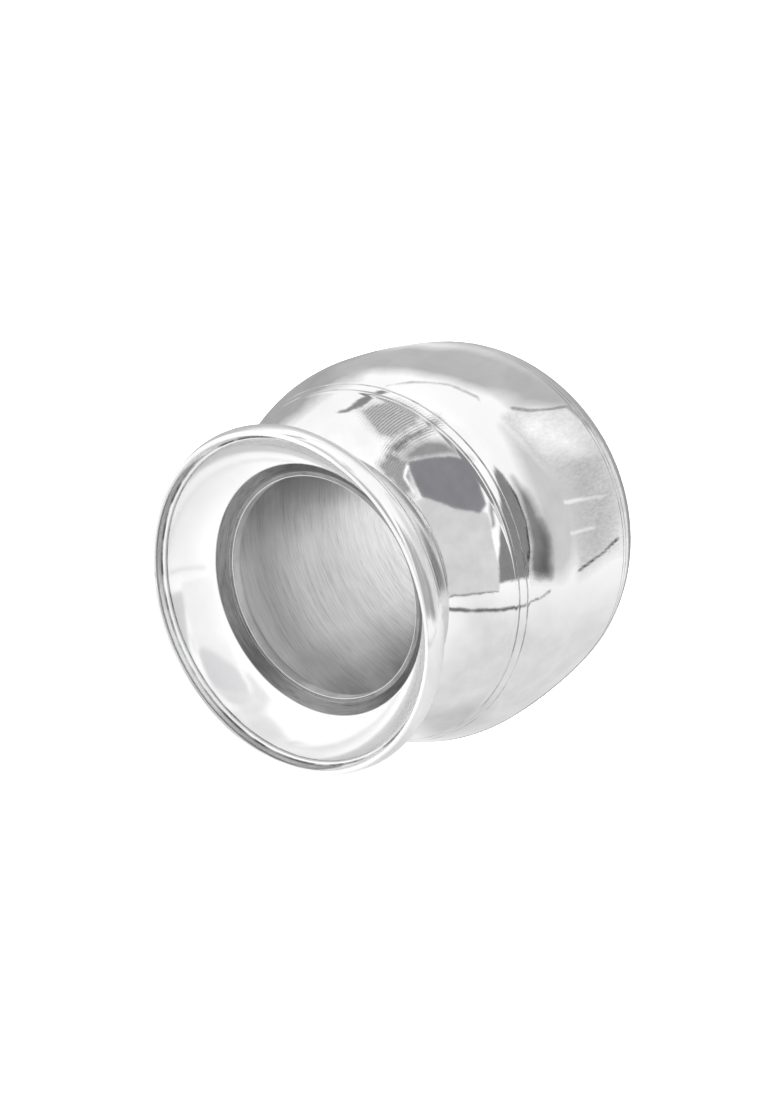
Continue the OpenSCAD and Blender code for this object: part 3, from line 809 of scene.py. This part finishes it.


# each flag: how bright it is, how soft and how torn its edge is, how far it is hatched and grained,
# and its corners as (azimuth, elevation) from the middle of the tent, given or seen at pixels (x, y)
# of the photograph
flags = {
    "frontGrey": (0.73, 16, 0, 0, 0, [(-45, -60), (-45, 40), (40, 40), (40, -60)]),
    "farShade": (0.64, 12, 4, 0, 0, [(232, -38), (270, -46), (308, -38), (306, -26), (270, -24), (236, -26)]),
    "leftGrey": (0.42, 6, 3, 0, 0, [(186, -14), (196, -8), (208, 0), (225, -2), (250, -25), (255, -55),
        (215, -60), (190, -46), (184, -24)]),
    "lowGrey": (0.58, 6, 2, 0, 0, [(322, 8), (333, 6), (345, 0), (350, -8), (340, -18), (325, -16)]),
    "farWhite": (1.05, 14, 0, 0, 0, [(150, 34), (205, 30), (215, 60), (160, 75)]),
    "baseGrey": (0.6, 5, 6, 0, 0.05, [(40, -48), (60, -46), (110, -46), (128, -50), (135, -62),
        (110, -72), (60, -72), (30, -66)]),
    "edgeShade": (0.34, 0.8, 0.5, 0, 0, [(-40, -27), (-30, -30), (-19, -34), (-12, -38), (-4, -41), (5, -43.5),
        (15, -44.6), (26, -45), (36, -45.5), (46, -46), (57, -45), (76, -45.5), (97, -45), (104, -47), (97, -55),
        (60, -57), (26, -55), (5, -53), (-12, -48), (-25, -42), (-40, -37)]),
    "topEdge": (0.4, 2.2, 1, 0, 0, [(97, -44.5), (104, -42.5), (118, -42), (134, -43), (151, -44), (169, -43),
        (182, -44), (190, -46), (182, -50), (151, -52), (118, -52), (97, -52)]),
    "backFlag": (0.24, 1.5, 3, 0, 0, [(290, -42), (297, -40), (308, -34), (312, -44), (306, -56), (296, -50)]),
    "topGrey": (0.51, 3.5, 1, 0, 0, [
        (151, -43), (144, -44), (134, -44), (125, -44.5), (119, -44.5), (111, -44.5), (114, -38)]
        + seen([
        (540, 409), (517.5, 406.5), (490, 393.75), (450, 378.75), (405, 371.25), (367.5, 371.25), (335, 378),
        (335, 366.25), (367.5, 354.5), (410, 345.5), (470, 347)], closed=False)),
    "pebbledCloth": (0.76, 1.2, 1.5, 0, 0.17, seen([
        (516.7, 409.3), (563.3, 410.7), (583.3, 417.3), (605, 454), (616.7, 480), (617.3, 536.7),
        (603.3, 552.7), (578.3, 569.3), (576, 540), (565, 500), (546.7, 470), (520, 436.7), (500, 417.3)])),
    "pebbledFold": (0.57, 5, 2, 0, 0.17, [(100, -34), (94, -44), (70, -43), (56, -39), (52, -31),
        (70, -29), (88, -29)]),
    "pebbledLight": (1.0, 4, 2, 0, 0.1, [(119, -31), (112, -37), (103, -38.5), (95, -39), (97, -35.7),
        (103, -31), (113, -28)]),
    "greyPatch": (0.7, 0.7, 1, 0, 0, [
        (90, 67), (126, 60), (120, 53), (108, 46), (98, 36), (93, 26), (89, 22), (82, 23)]
        + seen([
        (492.5, 536.7), (495, 546.7), (499, 566.7), (499, 590), (473.3, 593.3), (436.7, 596),
        (431.7, 566.7)], closed=False)),
    "panelShade": (0.33, 3, 2, 0, 0, seen([
        (402.5, 458), (412.5, 446.25), (422.5, 441.25), (440, 440.5), (452.5, 447.5), (470, 457.5),
        (450, 455.75), (430, 457.5), (407.5, 462)])),
    "panelBevel": (0.38, 1.5, 5, 1, 0, seen([
        (388.75, 448.75), (405, 460), (410.5, 465), (413, 496.25), (402.5, 495.5), (392.5, 483), (377.5, 468)])),
    "hatchedBlob": (0.48, 1.5, 4, 1, 0, seen([
        (360, 410), (375, 402.5), (395, 400.5), (412.5, 407), (423, 417.5), (417.5, 425.5), (392.5, 440.5),
        (382.5, 438), (367.5, 425.5)])),
    "hatchedTrail": (0.25, 1.5, 3, 1, 0, seen([
        (390, 447), (405, 435), (425, 426.25), (437.5, 416.25), (440.5, 422), (425, 435), (412.5, 442),
        (397, 458)])),
    "darkPanel": (0.26, 0.6, 1.2, 0, 0, seen([
        (407.5, 462.5), (430, 458), (450, 456.25), (467.5, 460), (475, 472.5), (480, 485), (486.25, 505),
        (480, 513), (455, 508.75), (440, 502.5), (422.5, 497.5), (416.25, 485), (411.25, 472.5)], 1)),
    "darkSpot": (0.27, 0.8, 3, 0, 0, seen([
        (337.5, 412), (345, 409.5), (362.5, 397.5), (380, 390), (388, 390.5), (375, 398), (365, 406),
        (355, 409.25), (345, 413)])),
    "swoosh": (0.62, 4, 1.5, 0, 0, [(118, -20), (100, -26), (86, -32), (70, -31), (58, -27), (52, -20), (52, -3),
        (69, -8), (84, -12), (98, -14)]),
    "standBand": (0.25, 0.8, 1.2, 0, 0.1, seen([
        (494, 466), (503.3, 475), (516.7, 496.7), (526, 523.3), (529.3, 546.7), (528.7, 576.7), (520, 579.3),
        (500, 582)], closed=False)
        + [(60, 24.3), (66, 23.3), (70, 21.8), (76, 19.5), (81, 16.5), (88, 12), (95, 8), (103, 3)]),
    "softBand": (0.24, 2.5, 1.5, 0, 0.1, seen([
        (511.7, 476.7), (528.3, 493.3), (540, 516.7), (548.3, 536.7), (551.7, 576.7), (535, 577.3),
        (530.7, 570), (531, 546.7), (527.3, 523.3), (520, 500)])),
    "darkBand": (0.13, 3, 2, 0, 0.1, seen([
        (540, 520), (548.3, 536.7), (551.7, 576.7), (540, 577.3), (536.7, 566.7), (542.7, 546.7)])),
    "smallSpike": (0.35, 0.8, 1, 0, 0, seen([
        (488.75, 493.75), (492, 502.5), (495, 525), (492.5, 527.5), (488.5, 510)])),
    "thinLine": (0.55, 0.5, 1, 0, 0, seen([
        (386.25, 385.5), (410, 381.25), (430, 381.5), (450, 384), (477.5, 395.5), (480.5, 403), (477, 398),
        (449.5, 385.75), (429.5, 383.25), (410, 383)], 1)),
    "pebbledTop": (0.25, 0.35, 0.6, 0, 0, seen([
        (509.2, 406.6), (530.1, 409.7), (551, 408), (566.7, 405.5), (575.5, 411.1),
        (589.4, 424.7)], 1, halve=False)
        + [(95.1, -43.8), (94.7, -43.2)]
        + seen([
        (588, 426.8), (574.1, 413.2), (566, 407.3), (551, 410), (530.1, 411.8), (509.2, 409)], 1, halve=False)),
    "upperFold": (0.92, 0.5, 0.5, 0, 0, seen([
        (563.2, 500.8), (579, 498.3), (592.9, 496.2), (605.1, 494.5), (605.1, 496.6), (592.9, 498.7),
        (579, 501.1), (564.3, 503.9)], 1, halve=False)),
    "lowerFold": (0.92, 0.5, 0.5, 0, 0, seen([
        (570.2, 532.2), (580.7, 529.7), (594.7, 526.6), (595, 528.7), (581, 532.2),
        (570.9, 535)], 1, halve=False)),
    "pebbledHem": (0.12, 0.3, 0.5, 0, 0, seen([
        (618, 536), (603.3, 551.3), (578.3, 568.7), (577, 570.7), (579, 572), (604, 554), (618.7, 539.3)], 1)),
    "patchHem": (0.2, 0.3, 0.5, 0, 0, seen([
        (436.7, 595), (473.3, 592.3), (499, 589.7), (499, 591.3), (473.3, 594.3), (436.7, 597)], 1)),
    "longLine": (0.14, 0.5, 0.8, 0, 0, seen([
        (447.3, 605.7), (473.3, 608), (500, 607.3), (526.7, 602.7), (540, 597.7), (550, 590), (551, 590.7),
        (540.7, 599.3), (527.3, 605), (500, 610.7), (473.3, 611.3), (448, 610)], 1)),
    "blackLine": (0.02, 0.35, 0.3, 0, 0, seen([
        (502, 474), (516.7, 495), (526.7, 522.7), (529.7, 546.7), (529.7, 575), (528, 575), (528, 546.7),
        (524.7, 523.3), (515.3, 497.3)], 1)),
    "leftGlint": (1.15, 0.4, 0.8, 0, 0, seen([
        (407.3, 464.1), (410, 466.6), (406.6, 477.1), (415.6, 492.8), (413.9, 494.5),
        (403.8, 477.8)], 1, halve=False)),
    "rightGlint": (1.15, 0.4, 0.6, 0, 0, seen([
        (466.6, 460), (469.7, 458.6), (488.9, 485.8), (496.2, 503.2), (492.8, 504.6),
        (485.4, 488.6)], 1, halve=False)),
}


def towards(azimuth, elevation):
    a, e = math.radians(azimuth), math.radians(elevation)
    return Vector((math.cos(a) * math.cos(e), math.sin(a) * math.cos(e), math.sin(e)))


def tentLook():
    # white cloth with soft, uneven light on it
    material, tree = emptyTree("tentCloth")
    spot = addNode(tree, "ShaderNodeTexCoord", (-800, 0)).outputs["Object"]
    uneven = noiseMap(tree, spot, (-600, 0), 1.6)
    least, most = studio["tentLevel"] - studio["tentSpread"], studio["tentLevel"] + studio["tentSpread"]
    light = addNode(tree, "ShaderNodeEmission", (-200, 0), {
        "Strength": ramp(tree, uneven, (-400, 0), 0.3, 0.7, least, most)})
    addNode(tree, "ShaderNodeOutputMaterial", (0, 0), {"Surface": light.outputs[0]})
    return material


def flagLook(name, level, soft, torn, hatched, grain, tinted):
    # the flag fades out over its edge, which noise makes ragged; the hatching lies along its border
    material, tree = emptyTree(name)
    edge = maskNode(tree, "edge", (-1200, 0))
    angles = addNode(tree, "ShaderNodeAttribute", (-1400, -300), attribute_name="angles").outputs["Vector"]
    tear = noiseMap(tree, angles, (-1200, -300), 1 / studio["tearSize"], 5, 0.65)
    tear = calc(tree, "MULTIPLY", (-1000, -300), calc(tree, "SUBTRACT", (-1100, -300), tear, 0.5), torn * 2)
    ragged = calc(tree, "ADD", (-900, 0), edge, tear)
    parts = addNode(tree, "ShaderNodeSeparateXYZ", (-1200, -600), {0: angles}).outputs
    across, upward = studio["hatchSlant"]
    slanted = calc(tree, "SUBTRACT", (-1050, -600), calc(tree, "MULTIPLY", (-1200, -550), parts["X"], across),
                   calc(tree, "MULTIPLY", (-1200, -700), parts["Y"], upward))
    waves = calc(tree, "MULTIPLY", (-900, -600), slanted, 2 * math.pi / studio["hatchSize"])
    stripes = calc(tree, "SINE", (-750, -600), waves)
    near = ramp(tree, ragged, (-900, -450), 0, 6 if hatched else 1, 3.0 * hatched, 0)
    hatch = calc(tree, "MULTIPLY", (-700, -500), stripes, near)
    cover = ramp(tree, calc(tree, "ADD", (-600, 0), ragged, hatch), (-500, 0), -soft, soft)

    # uneven light, grain of the cloth, and the lines of the hatching
    patchy = noiseMap(tree, angles, (-900, 300), 0.09, 3, 0.6)
    spread, depth = studio["flagSpread"], studio["hatchDepth"] * hatched
    tone = ramp(tree, patchy, (-700, 300), 0.3, 0.7, level * (1 - spread), level * (1 + spread))
    fine = ramp(tree, noiseMap(tree, angles, (-900, 500), 1.1, 2, 0.6), (-700, 500), 0.3, 0.7, 1 - grain, 1 + grain)
    lined = ramp(tree, stripes, (-600, 550), -1, 1, 1 - depth, 1 + depth)
    tone = calc(tree, "MULTIPLY", (-400, 400), calc(tree, "MULTIPLY", (-500, 400), tone, fine), lined)
    light = addNode(tree, "ShaderNodeEmission", (-300, 200), {"Strength": tone})
    if tinted:
        feed(tree, light.inputs["Color"], studio["panelTint"])
    clear = addNode(tree, "ShaderNodeBsdfTransparent", (-300, -100)).outputs[0]
    mix = addNode(tree, "ShaderNodeMixShader", (-100, 0), {0: cover, 1: clear, 2: light.outputs[0]})
    addNode(tree, "ShaderNodeOutputMaterial", (100, 0), {"Surface": mix.outputs[0]})
    return material


def edgeDistance(spot, corners):
    # degrees from the border, above zero inside
    inside, nearest = False, 1e9
    for a, b in zip(corners, corners[1:] + corners[:1]):
        a, b = Vector(a), Vector(b)
        if (a.y > spot.y) != (b.y > spot.y) and spot.x < a.x + (b.x - a.x) * (spot.y - a.y) / (b.y - a.y):
            inside = not inside
        along = b - a
        t = min(1, max(0, (spot - a).dot(along) / along.length_squared))
        nearest = min(nearest, (a + along * t - spot).length)
    return nearest if inside else -nearest


def hangInTent(name, look, radius, gap, spots, faces):
    middle = Vector(studio["middle"])
    verts = []
    for azimuth, elevation in spots:
        aim = towards(azimuth, elevation)
        verts.append(middle + aim * (min(radius, (middle.z - gap) / -aim.z) if aim.z < 0 else radius))
    mesh = bpy.data.meshes.new(name)
    mesh.from_pydata(verts, [], faces)
    mesh.materials.append(look)
    cloth = bpy.data.objects.new(name, mesh)
    scene.collection.objects.link(cloth)
    cloth.visible_camera = cloth.visible_diffuse = cloth.visible_shadow = cloth.visible_transmission = False
    return mesh


def evenRows(low, high, count, radius, gap):
    # evenly spaced, with one more row where the wall of the tent meets the floor
    rows = [low + (high - low) * r / (count - 1) for r in range(count)]
    foot = -math.degrees(math.asin((studio["middle"][2] - gap) / radius))
    if low < foot < high:
        rows = sorted(rows + [foot])
    return rows


def gridFaces(columns, rows):
    return [(c * rows + r, (c + 1) * rows + r, (c + 1) * rows + r + 1, c * rows + r + 1)
            for c in range(columns - 1) for r in range(rows - 1)]


def hangFlag(name, level, soft, torn, hatched, grain, corners, layer):
    margin = soft + torn + 3 * hatched + 1
    pitch = studio["finePitch"] if soft < 1 else studio["flagPitch"]
    turns, heights = zip(*corners)
    lowA, highA = min(turns) - margin * 1.6, max(turns) + margin * 1.6
    lowE, highE = max(-86, min(heights) - margin), min(86, max(heights) + margin)
    radius = studio["tentRadius"] - studio["layerGap"] * (layer + 1)
    gap = studio["floorGap"] * (layer + 2) / (len(flags) + 2)
    columns = int((highA - lowA) / pitch) + 2
    rows = evenRows(lowE, highE, int((highE - lowE) / pitch) + 2, radius, gap)
    spots = [Vector((lowA + (highA - lowA) * c / (columns - 1), row)) for c in range(columns) for row in rows]
    edges = [edgeDistance(spot, corners) for spot in spots]
    faces = [f for f in gridFaces(columns, len(rows)) if max(edges[i] for i in f) > -margin]
    look = flagLook(name + "Cloth", level, soft, torn, hatched, grain, name == "darkPanel")
    mesh = hangInTent(name, look, radius, gap, spots, faces)
    edge = mesh.attributes.new("edge", "FLOAT", "POINT")
    angles = mesh.attributes.new("angles", "FLOAT_VECTOR", "POINT")
    for i, spot in enumerate(spots):
        edge.data[i].value = edges[i]
        angles.data[i].vector = (spot.x, spot.y, 3.7 * layer)


tentGap = studio["floorGap"] / (len(flags) + 2)
tentRows = evenRows(-89.9, 89.9, studio["tentRows"], studio["tentRadius"], tentGap)
tentColumns = studio["tentColumns"]
tentSpots = [(360 * c / (tentColumns - 1), row) for c in range(tentColumns) for row in tentRows]
tentFaces = gridFaces(tentColumns, len(tentRows))
hangInTent("lightTent", tentLook(), studio["tentRadius"], tentGap, tentSpots, tentFaces)
for layer, (name, flag) in enumerate(flags.items()):
    hangFlag(name, *flag, layer)
print("tent and flags hung")

floorMesh = bpy.data.meshes.new("studioFloor")
reachOut = studio["floorSize"] / 2
floorCorners = [(reachOut * x, reachOut * y, 0) for x, y in ((-1, -1), (1, -1), (1, 1), (-1, 1))]
floorMesh.from_pydata(floorCorners, [], [(0, 1, 2, 3)])
floor = bpy.data.objects.new("studioFloor", floorMesh)
scene.collection.objects.link(floor)
floorLook, floorTree, floorShader = shaderTree("paleFloor")
floorFinish = {"Base Color": studio["floorColour"], "Roughness": 0.9, "Specular IOR Level": 0.1}
for label, value in floorFinish.items():
    feed(floorTree, floorShader.inputs[label], value)
floorMesh.materials.append(floorLook)

for name, box in studio["boxes"].items():
    lamp = bpy.data.lights.new(name, "AREA")
    lamp.shape = "DISK"
    lamp.size = box["size"]
    lamp.energy = box["power"]
    stand = bpy.data.objects.new(name, lamp)
    stand.location = towards(box["azimuth"], box["elevation"]) * box["distance"]
    stand.rotation_euler = stand.location.to_track_quat("Z", "Y").to_euler()
    stand.visible_camera = stand.visible_glossy = False
    scene.collection.objects.link(stand)

sky = bpy.data.worlds.new("softSky")
scene.world = sky
sky.use_nodes = True
skyNode = sky.node_tree.nodes["Background"]
skyNode.inputs["Color"].default_value = (1, 1, 1, 1)
skyNode.inputs["Strength"].default_value = studio["skyLevel"]
scene.view_settings.view_transform = "Standard"
print("studio lit")
